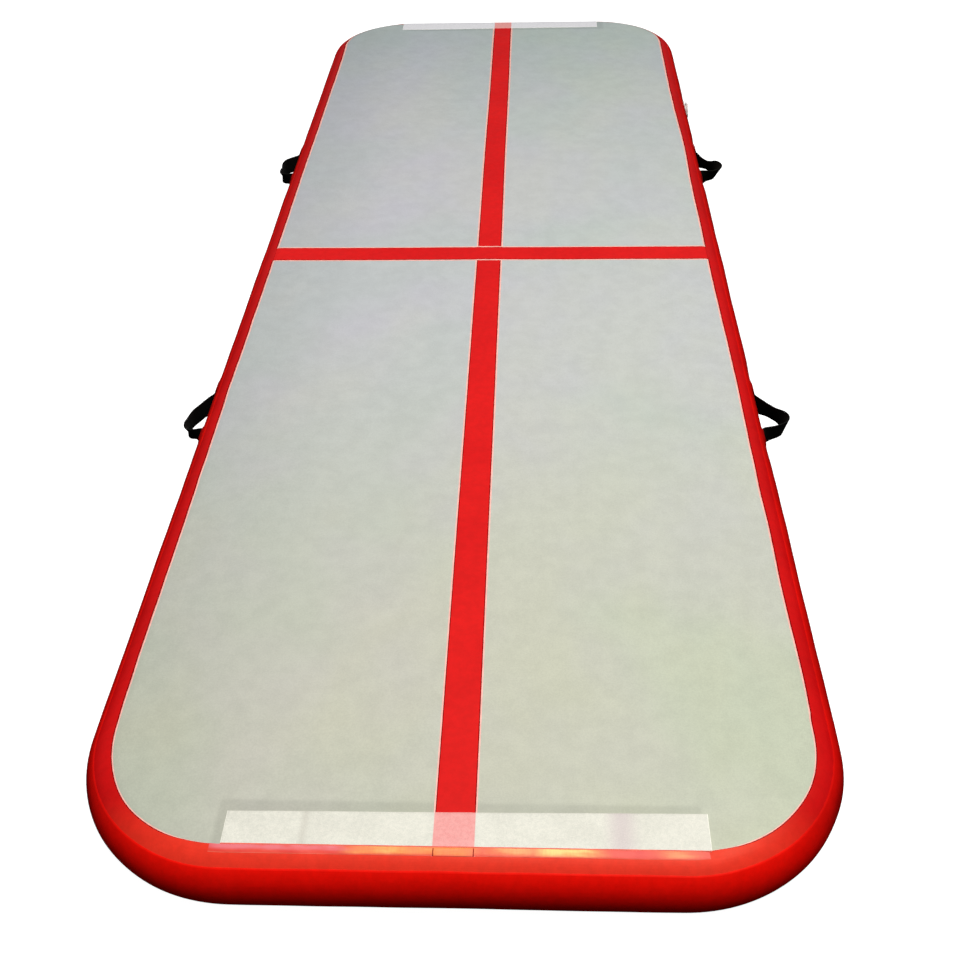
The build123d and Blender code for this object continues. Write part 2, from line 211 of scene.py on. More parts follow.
def applied(piece):
    """The piece with its modifiers worked into its mesh."""
    bpy.context.view_layer.update()
    shape = piece.evaluated_get(bpy.context.evaluated_depsgraph_get())
    mesh = bpy.data.meshes.new_from_object(shape)
    piece.modifiers.clear()
    piece.data = mesh
    return piece


# ---- Materials ----
class Look:
    """A material under construction: its nodes and the shortcuts that make them."""

    def __init__(self, name, roughness, **sockets):
        self.material = bpy.data.materials.new(name)
        self.material.use_nodes = True
        self.tree = self.material.node_tree
        self.shader = self.tree.nodes["Principled BSDF"]
        self.shader.inputs["Roughness"].default_value = roughness
        for socket, value in sockets.items():
            self.shader.inputs[socket.replace("_", " ")].default_value = value
        self.place = self.tree.nodes.new("ShaderNodeTexCoord").outputs["Object"]

    def node(self, kind, inputs, **settings):
        """A node with its settings and with what its inputs are or are linked to."""
        node = self.tree.nodes.new(kind)
        for setting, value in settings.items():
            setattr(node, setting, value)
        for socket, value in inputs.items():
            self.link(value, node.inputs[socket])
        return node

    def link(self, value, socket):
        if isinstance(value, (int, float, tuple)):
            socket.default_value = value
        else:
            self.tree.links.new(value, socket)

    def noise(self, size, detail=2.0, place=None, rough=0.5):
        """Noise whose features are about that many metres across."""
        inputs = {"Scale": 1 / size, "Detail": detail, "Roughness": rough}
        inputs["Vector"] = place or self.place
        return self.node("ShaderNodeTexNoise", inputs).outputs["Fac"]

    def ramp(self, value, low, high, start=0.0, end=1.0):
        """The value carried from low..high to start..end, smoothly."""
        inputs = {"Value": value, "From Min": low, "From Max": high, "To Min": start, "To Max": end}
        node = self.node("ShaderNodeMapRange", inputs, interpolation_type="SMOOTHSTEP")
        return node.outputs["Result"]

    def cloudy(self, size, detail, low, high, start=0.0, end=1.0, **noise):
        """Noise carried from low..high to start..end."""
        return self.ramp(self.noise(size, detail, **noise), low, high, start, end)

    def sum(self, operation, first, second=0.0):
        inputs = {0: first, 1: second}
        return self.node("ShaderNodeMath", inputs, operation=operation).outputs[0]

    def mix(self, share, first, second, blend="MIX"):
        inputs = {"Factor": share, "A": first, "B": second}
        node = self.node("ShaderNodeMix", inputs, data_type="RGBA", blend_type=blend)
        return node.outputs["Result"]

    def both(self, first, second):
        """Two shares multiplied together."""
        return self.sum("MULTIPLY", first, second)

    def times(self, first, second):
        """A colour multiplied by another one or by a strength."""
        return self.mix(1.0, first, second, "MULTIPLY")

    def part(self, axis):
        """One coordinate of the place, in metres."""
        return self.node("ShaderNodeSeparateXYZ", {0: self.place}).outputs[axis]

    def off(self, axis, middle=0.0):
        """How far the place is from a plane across that axis, to either side."""
        return self.sum("ABSOLUTE", self.sum("SUBTRACT", self.part(axis), middle))

    def stretched(self, scale):
        """The place with its axes scaled, which draws noise out along the smaller ones."""
        inputs = {"Vector": self.place, "Scale": scale}
        return self.node("ShaderNodeMapping", inputs).outputs["Vector"]

    def weave(self, pitch):
        """Crossed threads with that pitch, as a height from 0 to 1."""
        total = 0.0
        for axis in "XYZ":
            turn = self.both(self.part(axis), tau / pitch)
            total = self.sum("ADD", total, self.sum("SINE", turn))
        return self.ramp(total, -3, 3)

    def colour(self, value):
        self.link(value, self.shader.inputs["Base Color"])

    def rough(self, value):
        self.link(value, self.shader.inputs["Roughness"])

    def bump(self, *layers):
        """Relief from pairs of a height and its depth in metres."""
        under = {}
        for height, depth in layers:
            inputs = {"Height": height, "Distance": depth, **under}
            under = {"Normal": self.node("ShaderNodeBump", inputs).outputs["Normal"]}
        self.link(under["Normal"], self.shader.inputs["Normal"])


def rgb(red, green, blue):
    """A display colour from 0 to 255 as linear light."""
    linear = []
    for part in (red, green, blue):
        part = part / 255
        linear.append(part / 12.92 if part <= 0.04045 else ((part + 0.055) / 1.055) ** 2.4)
    return (*linear, 1.0)


STAIN_Y = 1.400  # how far out the stain lies fully, along the mat and across it
STAIN_X = 0.292
STAIN_EDGE = 12 * MM


def grey_skin_look():
    """Coated pale cloth, mottled, a little yellowed and stained."""
    look = Look("grey_skin", 0.55, Specular_IOR_Level=0.35)
    broad = look.cloudy(0.34, 2, 0.36, 0.64)
    other = look.cloudy(0.21, 3, 0.4, 0.68, place=look.stretched((1, 0.7, 1)))
    tint = look.mix(broad, rgb(184, 188, 187), rgb(188, 187, 193))
    tint = look.mix(look.both(other, 0.6), tint, rgb(191, 191, 187))
    # It has yellowed towards the front, and is cooler towards the rear and greyer by the left wall.
    cast = look.mix(look.ramp(look.part("Y"), -0.1, -1.4), (1, 1, 1, 1), (0.99, 0.98, 0.785, 1))
    cast = look.mix(look.ramp(look.part("Y"), 0.5, 1.5), cast, (0.86, 0.93, 0.91, 1))
    across = look.mix(look.ramp(look.part("X"), -0.3, 0.3), (1, 1, 1.02, 1), (1, 1.04, 1, 1))
    cast = look.times(cast, across)
    cast = look.mix(look.ramp(look.part("X"), -0.2, -0.5), cast, (0.86, 0.88, 0.88, 1), "MULTIPLY")
    mottle = look.cloudy(0.03, 4, 0.3, 0.7, 0.955, 1.03, rough=0.7)
    grain = look.cloudy(2.2 * MM, 2, 0.25, 0.75, 0.95, 1.04)
    # A soft stain where the joining strips' glue was wiped, just inside their inner edges.
    stain = look.both(
        look.ramp(look.off("Y"), STAIN_Y - STAIN_EDGE, STAIN_Y),
        look.ramp(look.off("X", 4 * MM), STAIN_X + STAIN_EDGE, STAIN_X),
    )
    shade = look.both(look.both(mottle, grain), look.ramp(stain, 0, 1, 1.0, 0.86))
    look.colour(look.times(look.times(tint, cast), shade))
    look.rough(look.cloudy(0.05, 3, 0.3, 0.7, 0.48, 0.6))
    look.bump((look.weave(2.6 * MM), 0.05 * MM), (look.noise(0.02, 4), 0.3 * MM))
    return look.material


SIDE_SHADE_X = (0.455, 0.485)  # painted shade on the long sides: from where it starts across the mat to where it is full
SIDE_SHADE_TOP = (MID + 36 * MM, MID + 18 * MM)
SIDE_SHADE_LOW = (MID - 28 * MM, MID - 6 * MM)


def red_look(name, light, dark, roughness, gloss=0.2, front=None):
    """Coated red cloth: a faint weave, slow changes of tone and fine scuffs, with painted light towards
    the front end where a front colour is given, and painted shade along the long sides.
    """
    look = Look(name, roughness, Specular_IOR_Level=gloss, Specular_Tint=(1.0, 0.6, 0.4, 1))
    tint = look.mix(look.cloudy(0.16, 3, 0.32, 0.68), dark, light)
    if front:
        # Painted light: the front end is painted brighter, and on the tape more orange, standing in for
        # the lamp's light and sheen on that end.
        tint = look.mix(look.ramp(look.part("Y"), -1.38, -1.47), tint, front)
    tint = look.times(tint, look.cloudy(0.012, 5, 0.3, 0.7, 0.93, 1.05, rough=0.7))
    # Painted shade: the long sides are darkened round their outermost part, below their shoulders,
    # where shade falls.
    height = look.part("Z")
    side_shade = look.both(look.ramp(height, *SIDE_SHADE_TOP), look.ramp(height, *SIDE_SHADE_LOW))
    side_shade = look.both(look.ramp(look.off("X"), *SIDE_SHADE_X), side_shade)
    look.colour(look.mix(side_shade, tint, (0.56, 0.46, 0.46, 1), "MULTIPLY"))
    look.rough(look.cloudy(0.04, 3, 0.3, 0.7, roughness - 0.05, roughness + 0.07))
    look.bump((look.weave(1.9 * MM), 0.03 * MM), (look.noise(0.05, 3), 0.5 * MM))
    return look.material


def edge_look(name, tint, gloss=0.15):
    """A thin line of glue or cut edge, uneven in strength."""
    look = Look(name, 0.5, Specular_IOR_Level=gloss)
    look.colour(look.times(tint, look.cloudy(0.012, 4, 0.3, 0.7, 0.88, 1.06)))
    look.bump((look.noise(3 * MM, 2), 0.1 * MM))
    return look.material


STRIPE_WIDTH = 50 * MM
BRUISE_X = 203 * MM  # where the strips are bruised, and where they were folded, with the fold's shade painted as a darker band
FOLD_X = -184 * MM


def hook_look():
    """A milky strip set with tiny hooks, with the red stripe showing through its middle."""
    look = Look("hook_strip", 0.5, Specular_IOR_Level=0.35)
    mottle = look.cloudy(5 * MM, 3, 0.32, 0.68, rough=0.55)
    tint = look.mix(mottle, rgb(214, 213, 201), rgb(222, 220, 208))
    tint = look.times(tint, look.cloudy(0.05, 2, 0.35, 0.65, 0.96, 1.03))
    bruise = look.ramp(look.off("X", BRUISE_X), 28 * MM, 0.0, 0.0, 0.8)
    tint = look.mix(bruise, tint, rgb(204, 192, 190))
    # Painted shade: a darker band along the fold stands in for the shade in its crease.
    fold_shade = look.ramp(look.off("X", FOLD_X), 8 * MM, 0.0, 0.0, 0.5)
    tint = look.mix(fold_shade, tint, rgb(190, 186, 174))
    cooler = look.mix(mottle, rgb(222, 221, 226), rgb(232, 231, 234))
    tint = look.mix(look.ramp(look.part("Y"), -1, 1), tint, cooler)
    half = STRIPE_WIDTH / 2
    over_stripe = look.ramp(look.off("X"), half + 0.8 * MM, half - 0.2 * MM)
    tint = look.mix(over_stripe, tint, look.mix(mottle, rgb(230, 152, 148), rgb(234, 163, 158)))
    look.colour(look.times(tint, look.cloudy(1.6 * MM, 2, 0.3, 0.7, 0.94, 1.04)))
    look.bump((look.noise(1.6 * MM, 2), 0.3 * MM), (look.noise(0.012, 3), 0.3 * MM))
    return look.material


# Where amber shows under the strips' backing, partly yellowed glue and partly a painted glint: from and
# to across the mat, and strength.
GLUE_AND_GLINT_PLACES = ((-0.125, 0.03, 1.0), (0.03, 0.10, 0.5), (0.10, 0.175, 0.95), (0.245, 0.29, 0.4))
MILKY_PLACE = (-0.30, -0.12)
GLUE_SOFT = 0.02


def lap_look():
    """The strip's clear backing over the red border, yellowed by glue in places, with a painted orange
    sheen and a painted glint.
    """
    look = Look("hook_lap", 0.42, Specular_IOR_Level=0.3, Coat_Weight=0.08, Coat_Roughness=0.25)

    def within(low, high):
        across = look.part("X")
        rise = look.ramp(across, low - GLUE_SOFT, low + GLUE_SOFT)
        return look.both(rise, look.ramp(across, high + GLUE_SOFT, high - GLUE_SOFT))

    glue = 0.0
    for low, high, strength in GLUE_AND_GLINT_PLACES:
        glue = look.sum("MAXIMUM", glue, look.both(within(low, high), strength))
    # The amber, glue with a painted glint, is strongest a little below the strip; the milky places lie
    # right against it.
    height = look.part("Z")
    core = look.ramp(height, MID + 46.6 * MM, MID + 48.6 * MM)
    brim = look.ramp(height, MID + 47.9 * MM, MID + 49.3 * MM)
    smear = look.noise(0.03, 3, look.stretched((0.5, 2, 2)))
    glint_streaks = look.cloudy(2.5 * MM, 2, 0.3, 0.7, 0.85, 1.0, place=look.stretched((1, 0.2, 0.2)))
    glue = look.both(glue, look.ramp(smear, 0.35, 0.6, 0.55, 0.95))
    glue = look.both(look.both(glue, core), glint_streaks)
    # Painted sheen: the red under the backing is painted orange, as the lamp's sheen on it.
    tint = look.mix(look.cloudy(0.03, 3, 0.35, 0.65), rgb(222, 48, 34), rgb(232, 66, 46))
    milk = look.both(look.both(within(*MILKY_PLACE), brim), 0.85)
    tint = look.mix(look.both(milk, look.ramp(smear, 0.3, 0.5)), tint, rgb(226, 112, 122))
    # Painted glint: the amber runs up to a light yellow standing in for the lamp's glint on the glossy
    # backing.
    amber_and_glint = look.mix(look.ramp(smear, 0.45, 0.7), rgb(248, 160, 64), rgb(255, 220, 124))
    look.colour(look.mix(glue, tint, amber_and_glint))
    look.bump((look.noise(8 * MM, 3), 0.3 * MM))
    return look.material


def webbing_look():
    """Black polyester webbing: ribs across it and fine yarns along it."""
    look = Look("webbing", 0.7, Specular_IOR_Level=0.12, Sheen_Weight=0.02, Sheen_Roughness=0.4)
    fleck = look.cloudy(1.2 * MM, 3, 0.3, 0.7)
    tint = look.mix(fleck, (0.0015, 0.0015, 0.001, 1), (0.006, 0.006, 0.005, 1))
    worn = look.cloudy(0.02, 4, 0.55, 0.8, 0.0, 0.5)
    look.colour(look.mix(worn, tint, (0.011, 0.011, 0.01, 1)))
    look.bump((look.noise(0.7 * MM, 2), 0.15 * MM))
    return look.material


def plastic_look(name, light, dark, roughness):
    """Moulded plastic or rubber with a fine grain and slight handling marks."""
    look = Look(name, roughness)
    look.colour(look.mix(look.cloudy(0.01, 3, 0.3, 0.7), dark, light))
    look.rough(look.cloudy(6 * MM, 4, 0.3, 0.7, roughness - 0.06, roughness + 0.1))
    look.bump((look.noise(0.5 * MM, 2), 0.03 * MM))
    return look.material


def cloth_look(name, light, dark, pitch):
    """Plain woven cloth or twisted yarn."""
    look = Look(name, 0.8)
    look.colour(look.mix(look.cloudy(4 * pitch, 3, 0.3, 0.7), dark, light))
    look.bump((look.weave(pitch), 0.2 * pitch))
    return look.material


def steel_look():
    """Drawn spring wire."""
    look = Look("spring_steel", 0.3, Metallic=1.0)
    look.colour(look.mix(look.noise(2 * MM, 3), (0.45, 0.45, 0.47, 1), (0.62, 0.62, 0.63, 1)))
    look.bump((look.noise(0.3 * MM, 2, look.stretched((1, 6, 6))), 0.02 * MM))
    return look.material


GREY_SKIN = grey_skin_look()
# The last colour given to the tape and to the band is painted light for their front end.
RED_TAPE = red_look("red_tape", rgb(203, 9, 13), rgb(193, 7, 11), 0.42, 0.25, rgb(231, 50, 33))
RED_BAND = red_look("red_band", rgb(212, 10, 6), rgb(200, 8, 5), 0.5, 0.15, rgb(240, 11, 3))
RED_FILM = red_look("red_film", rgb(215, 22, 24), rgb(208, 18, 22), 0.55)
RED_PATCH = red_look("red_patch", rgb(206, 9, 9), rgb(197, 8, 8), 0.5, 0.15)
PALE_EDGE = edge_look("pale_edge", rgb(247, 186, 174))
DARK_EDGE = edge_look("dark_edge", rgb(138, 5, 8), 0.03)
PATCH_RIM = edge_look("band_edge", rgb(158, 8, 6), 0.02)
LAP_RIM = edge_look("lap_edge", rgb(238, 104, 84))
HOOK_LOOK = hook_look()
HOOK_EDGE = edge_look("hook_edge", rgb(246, 244, 232))
LAP_LOOK = lap_look()
WEBBING_LOOK = webbing_look()
VALVE_PLASTIC = plastic_look("valve_plastic", (0.72, 0.66, 0.63, 1), (0.64, 0.58, 0.55, 1), 0.42)
CAP_PLASTIC = plastic_look("cap_plastic", (0.80, 0.73, 0.70, 1), (0.72, 0.65, 0.62, 1), 0.4)
STEM_PLASTIC = plastic_look("stem_plastic", (0.33, 0.34, 0.35, 1), (0.27, 0.28, 0.29, 1), 0.45)
SEAL = plastic_look("seal", (0.06, 0.06, 0.06, 1), (0.04, 0.04, 0.04, 1), 0.7)
INNER_WALL = cloth_look("inner_wall", (0.56, 0.56, 0.53, 1), (0.48, 0.48, 0.46, 1), 1.5 * MM)
YARN = cloth_look("yarn", (0.86, 0.86, 0.83, 1), (0.72, 0.72, 0.7, 1), 0.6 * MM)
SPRING_STEEL = steel_look()


# ---- The line round the mat that its wall follows ----
def wall_line(step=12 * MM, turn=2.5):
    """Places on the centre line, the way out at each, and the distance along it."""
    places, outs = [], []
    side = HALF_Y - LINE_CORNER
    for quarter in range(4):
        angle = quarter * pi / 2
        out = np.array([cos(angle), sin(angle)])
        along = np.array([-out[1], out[0]])
        half, reach = (side, HALF_X) if quarter % 2 == 0 else (STRAIGHT, HALF_Y)
        count = round(2 * half / step)
        for distance in np.linspace(-half, half, count, endpoint=False):
            places.append(reach * out + distance * along)
            outs.append(out)
        centre = (reach - LINE_CORNER) * out + half * along
        for bend in np.radians(np.arange(0, 90, turn)):
            way = out * cos(bend) + along * sin(bend)
            places.append(centre + LINE_CORNER * way)
            outs.append(way)
    places, outs = np.array(places), np.array(outs)
    steps = np.linalg.norm(np.roll(places, -1, axis=0) - places, axis=1)
    return places, outs, np.concatenate([[0], np.cumsum(steps)[:-1]]), steps.sum()


PLACES, OUTS, DISTANCE, AROUND = wall_line()
AT_X, AT_Y = PLACES.T


def on_wall(angles, radii, places=PLACES, outs=OUTS):
    """Points on the wall, from degrees down it and radii, for each place and its whole section."""
    each = np.zeros((len(places), 1))
    angles, radii = np.broadcast_arrays(np.radians(angles) + each, radii + each)
    out = radii * np.sin(angles)
    flat = places[:, None, :] + out[:, :, None] * outs[:, None, :]
    return np.concatenate([flat, (MID + radii * np.cos(angles))[:, :, None]], axis=2)


def round_wave(length, seed, count=6):
    """Smooth noise from about -1 to 1 round the wall, that joins up with itself."""
    random = np.random.default_rng(seed)
    total = np.zeros(len(DISTANCE))
    for number in random.integers(AROUND / length / 2, AROUND / length * 1.5, count):
        total += np.sin(tau * number * DISTANCE / AROUND + random.uniform(0, tau))
    return total / sqrt(count)


def smooth(share):
    """The share held between 0 and 1 and eased at both ends."""
    share = np.clip(share, 0, 1)
    return share * share * (3 - 2 * share)


def free_of(y, clear, soft, sides=(-HALF_X, HALF_X)):
    """0 at the long walls near a place along the mat and 1 away from it."""
    share = np.ones(len(PLACES))
    for x in sides:
        share *= smooth((np.hypot(AT_X - x, AT_Y - y) - clear) / soft)
    return share


CROSS_Y = 9 * MM
CROSS_WIDTH = 54 * MM
# Where the border's edges may stray: not under the films that lap over it.
STRAY = smooth((HALF_Y - 2.5 * MM - np.abs(AT_Y)) / (10 * MM)) * free_of(CROSS_Y, 0.04, 0.05)
BEND_X = STRAIGHT + LINE_CORNER * cos(pi / 4)  # the middle of a rounded corner
BEND_Y = HALF_Y - LINE_CORNER * (1 - cos(pi / 4))

# Where the hand-laid tape swings further out, or further in: x, y, how far along, and degrees.
SWINGS = (
    (HALF_X, 0.54, 0.16, 5.0),
    (HALF_X, -0.47, 0.15, 3.6),
    (HALF_X, -0.89, 0.06, 2.4),
    (HALF_X, -1.17, 0.08, 2.4),
    (-HALF_X, -0.48, 0.09, 2.6),
    (-HALF_X, 0.95, 0.3, -1.2),
    (BEND_X, -BEND_Y, 0.10, 2.4),
    (-BEND_X, -BEND_Y, 0.05, 1.6),
    (-HALF_X, -1.30, 0.07, -3.0),
    (BEND_X, BEND_Y, 0.12, 7.0),
    (-BEND_X, BEND_Y, 0.12, 7.0),
)
JOIN_Y = -1.247  # where one length of tape ends on the right and the next begins
JOIN_STEP = 1.4  # degrees between them
JOIN_REACH = 0.08


def tape_edge():
    """Degrees down the wall to the tape's edge, at each place round it."""
    sideways = smooth(np.abs(OUTS[:, 0]) / 0.5)
    rearward = smooth((OUTS[:, 1] - 0.15) / 0.5)
    edge = TAPE_EDGE + (SIDE_EDGE - TAPE_EDGE) * sideways * (1 - rearward)
    edge += (END_EDGE["rear"] - TAPE_EDGE) * rearward
    for x, y, reach, degrees in SWINGS:
        near = np.hypot(AT_X - x, AT_Y - y)
        edge += degrees * np.exp(-((near / reach) ** 2)) * STRAY
    joined = (AT_X > STRAIGHT) & (AT_Y < JOIN_Y)
    return edge - JOIN_STEP * STRAY * joined * np.exp(-(((AT_Y - JOIN_Y) / JOIN_REACH) ** 2))


def widening(y, front, rear):
    """A width that grows steadily from the front end to the rear."""
    return front + (rear - front) * (y / HALF_Y + 1) / 2


# ---- The skins ----
def skin_points():
    """The grid of the skin's flat face."""
    bends = np.radians(np.arange(0, 90.1, 3))
    edge = STRAIGHT + LINE_CORNER * np.sin(bends)
    reach = HALF_Y - LINE_CORNER + LINE_CORNER * np.cos(bends)
    middle = np.linspace(-STRAIGHT, STRAIGHT, 62)[1:-1]
    xs = np.concatenate([-edge[::-1], middle, edge])
    reaches = np.concatenate([reach[::-1], np.full(len(middle), HALF_Y), reach])
    x, share = np.meshgrid(xs, np.linspace(-1, 1, 301), indexing="ij")
    return x, share * reaches[:, None]


def build_skin(name, node, upper):
    """A skin with its rounded shoulder, as one closed shell."""
    x, y = skin_points()
    rim = rim_of(*x.shape)
    face = np.stack([x, y, MID + R_SKIN + sag(x, y)], axis=2).reshape(-1, 3)
    at_rim = face[rim, :2]
    straight = (STRAIGHT, HALF_Y - LINE_CORNER)
    centre = np.clip(at_rim, np.negative(straight), straight)
    outs = at_rim - centre
    outs /= np.linalg.norm(outs, axis=1)[:, None]
    angles = np.arange(3, SKIN_EDGE + 0.1, 3)
    shoulder = on_wall(angles, R_SKIN, at_rim, outs).transpose(1, 0, 2).reshape(-1, 3)
    points = np.concatenate([face, shoulder])
    rings = np.append(rim, len(face) + np.arange(len(shoulder)))
    curved = rings[quads(len(angles) + 1, len(rim), round_columns=True)]
    if not upper:
        points[:, 2] = 2 * MID - points[:, 2]
    skin = make_piece(name, points, np.concatenate([quads(*x.shape), curved]), [GREY_SKIN])
    if (skin.data.polygons[0].normal.z > 0) != upper:
        skin.data.flip_normals()
    shell = skin.modifiers.new("thickness", "SOLIDIFY")
    shell.thickness = SKIN
    shell.offset = -1
    applied(skin)
    return settle(skin, "mat", node)


skins = (
    build_skin("top_skin_cloth", "top_skin", upper=True),
    build_skin("bottom_skin_cloth", "bottom_skin", upper=False),
)


# ---- The red border ----
RIGHT_SWELL = 1.5 * MM  # the right wall stands out a little further than the left
VALVE_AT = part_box("valve_body")
VALVE_Y = (VALVE_AT[0][1] + VALVE_AT[1][1]) / 2
BARREL_RADIUS = 15 * MM


def bulge(angles):
    """How the wall's cloth swells a little between its glued places, growing down the wall."""
    share = free_of(VALVE_Y, 0.05, 0.06, sides=(WALL_X,))
    for y in HANDLE_Y.values():
        share *= free_of(y, 0.11, 0.06)
    wave = 0.3 * MM * round_wave(0.35, 21) + 0.15 * MM * round_wave(0.12, 22)
    wave += RIGHT_SWELL * smooth((AT_X - HALF_X + 20 * MM) / (20 * MM))
    down = np.clip((angles - BAND_EDGE) / 25, 0, 1) * np.clip((180 - BAND_EDGE - angles) / 25, 0, 1)
    return (wave * share)[:, None] * down


def bore(piece):
    """Cuts the valve's hole through a layer of the right wall."""
    count = 72
    turns = np.arange(count) * tau / count
    y = VALVE_Y + BARREL_RADIUS * np.cos(turns)
    z = MID + BARREL_RADIUS * np.sin(turns)
    rims = [np.column_stack([0 * y + x, y, z]) for x in (WALL_X - 30 * MM, WALL_X + 10 * MM)]
    faces = [*quads(2, count, round_columns=True), range(count), range(count, 2 * count)]
    cutter = make_piece("cutter", np.concatenate(rims), faces, [])
    cut = piece.modifiers.new("bore", "BOOLEAN")
    cut.object = cutter
    cut.operation = "DIFFERENCE"
    cut.solver = "EXACT"
    applied(piece)
    bpy.data.objects.remove(cutter)


def ring_piece(name, node, section, materials, edge_kinds=(), upper=True):
    """A closed layer that runs all round the wall, from the parts of its section at each place."""
    angles, radii = np.concatenate(section, axis=1).transpose(2, 0, 1)
    if not upper:
        angles = 180 - angles
    points = on_wall(angles, radii + bulge(angles))
    faces = quads(*angles.shape, round_rows=True, round_columns=True)
    kinds = np.zeros(angles.shape, dtype=int)
    kinds[:, : len(edge_kinds)] = edge_kinds
    piece = make_piece(name, points, faces, materials, kinds.ravel(), sharp=30)
    bore(piece)
    return settle(piece, "mat", node)


def arc(start, stop, steps, radius):
    """Degrees and radii of an even arc, from where it starts to where it stops at each place."""
    ends = np.broadcast_arrays(start, stop, np.zeros(len(DISTANCE)))
    angles = np.linspace(ends[0], ends[1], steps, axis=1)
    return np.stack([angles, np.full(angles.shape, radius)], axis=2)


GLUE_LINE = (2.3, 5.0)  # degrees of pale glue beyond the tape's edge, at the front and at the rear
CUT_EDGE = (1.6, 3.0)  # degrees of dark cut edge
TUCK = 0.03 * MM  # how far an inner face sinks into the layer beneath


def corners(edge, steps):
    """Corners of a section at each place: degrees beyond an edge, and radii."""
    beyond, radii = np.array(steps).T
    angles = edge[:, None] + beyond
    return np.stack([angles, np.broadcast_to(radii, angles.shape)], axis=2)


def build_tape(name, node, upper):
    """An edge tape: its glue line, its cut edge, then its face to mid-height and back inside."""
    seed = 31 if upper else 41
    edge = tape_edge() + STRAY * (0.6 * round_wave(0.5, seed) + 0.25 * round_wave(0.11, seed + 1))
    # Neither shows where the tape laps over the cross stripe.
    crossed = free_of(CROSS_Y, CROSS_WIDTH / 2 - 6 * MM, 14 * MM)
    # They are narrowest round the front corners, and the front lap leaves hardly any.
    crossed *= 0.6 + 0.4 * smooth((AT_Y + BEND_Y) / 0.25)
    crossed *= 0.25 + 0.75 * smooth((AT_Y + HALF_Y - MM) / (20 * MM))
    glue = 0.1 + widening(AT_Y, *GLUE_LINE) * crossed
    cut = 0.3 + widening(AT_Y, *CUT_EDGE) * crossed
    start = edge + cut + 0.6
    section = [
        corners(edge - glue, ((0.0, R_SKIN - TUCK), (0.0, R_SKIN + 0.10 * MM))),
        corners(edge, ((0.0, R_SKIN + 0.10 * MM), (0.12, R_SKIN + 0.50 * MM))),
        corners(edge + cut, ((0.0, R_TAPE),)),
        arc(start, TAPE_MEETING, 26, R_TAPE),
        arc(TAPE_MEETING, start, 26, R_SKIN - TUCK),
    ]
    looks = [RED_TAPE, PALE_EDGE, DARK_EDGE]
    return ring_piece(name, node, section, looks, (1, 1, 2, 2), upper)


def build_band():
    """The side band: both its cut edges and its face between them."""
    high = BAND_EDGE + 0.45 * round_wave(0.45, 51) + 0.2 * round_wave(0.13, 52)
    low = 180 - BAND_EDGE + 0.45 * round_wave(0.45, 53)
    start = BAND_EDGE + 3
    lip = ((0.0, R_TAPE - TUCK), (0.0, R_TAPE + 0.25 * MM), (1.8, R_WALL))
    section = [
        corners(high, lip),
        arc(start, 180 - start, 36, R_WALL),
        corners(low, [(-beyond, radius) for beyond, radius in reversed(lip)]),
        arc(180 - start, start, 36, R_TAPE - TUCK),
    ]
    return ring_piece("side_band_cloth", "side_band", section, [RED_BAND])


border = (
    build_tape("top_tape_cloth", "top_edge_tape", True),
    build_tape("bottom_tape_cloth", "bottom_edge_tape", False),
    build_band(),
)


# ---- Films on the top skin ----
def slab(name, top, bottom, materials, kinds=None, rim_kind=0, sharp=40):
    """A closed piece between two grids of points."""
    count = top[:, :, 0].size
    rim = rim_of(*top.shape[:2])
    sides = np.stack([rim, np.roll(rim, -1), np.roll(rim, -1) + count, rim + count], axis=1)
    face = quads(*top.shape[:2])
    kinds = np.zeros(len(face), dtype=int) if kinds is None else np.ravel(kinds)
    points = np.concatenate([top.reshape(-1, 3), bottom.reshape(-1, 3)])
    faces = np.concatenate([face, face + count, sides])
    kinds = np.concatenate([kinds, kinds, np.full(len(sides), rim_kind)])
    return make_piece(name, points, faces, materials, kinds, sharp)


def half_run(start, reach, last, edge, step=10 * MM):
    """Stations from start to the mat's end and down its shoulder: place, degrees and radius."""
    flat = np.linspace(start, reach, round((reach - start) / step) + 1)[:-1]
    down = np.arange(0, min(last, edge) + 0.01, 1.1)
    angle = np.concatenate([0 * flat, down, np.arange(edge + 0.9, last + 0.01, 1.2)])
    place = np.append(flat, np.full(len(angle) - len(flat), reach))
    return np.stack([place, angle, np.where(angle > edge, R_TAPE, R_SKIN)], axis=1)


def both_ways(front, rear):
    """Two half runs as one from end to end."""
    return np.concatenate([front[::-1] * (-1, -1, 1), rear[1:]])


def film_section(half, thick, inner, margin, cut=0.7 * MM):
    """Across a film: the places, heights and kinds of its glue lines, cut edges and face."""
    margin, cut = np.atleast_1d(margin), np.atleast_1d(cut)
    rim = [half - cut / 7, half + 0 * cut, half + margin]
    face = [(half - cut) * share for share in np.linspace(-1, 1, inner)]
    places = [*(-place for place in reversed(rim)), *face, *rim]
    lip = [0.75 * thick, 0.11 * MM, 0.09 * MM]
    heights = [*reversed(lip), *([thick] * inner), *lip]
    kinds = [1, 2, 2, *([0] * (inner - 1)), 2, 2, 1]
    return np.stack(np.broadcast_arrays(*places), axis=1), np.array(heights), kinds


def lay(run, across, heights, turned=False, middle=0.0):
    """Points over the mat for each station of a run and each place across it."""
    place, angle, radius = (column[:, None] for column in run.T)
    across = middle + np.broadcast_to(across, (len(run), np.shape(across)[-1]))

    def flat(along):
        return (along, across) if turned else (across, along)

    reach = radius + heights + sag(*flat(place + 0 * across)) * (angle == 0)
    along = place + reach * np.sin(np.radians(angle))
    return np.stack([*flat(along), MID + reach * np.cos(np.radians(angle))], axis=2)


def rounded(run, half, radius):
    """How much of its width a film keeps at each station, as its ends are cut round."""
    place, angle, base = run.T
    distance = np.abs(place) + base * np.radians(np.abs(angle))
    left = np.clip(distance.max() - distance, 0, radius)
    return 1 - (radius - np.sqrt(radius**2 - (radius - left) ** 2)) / half


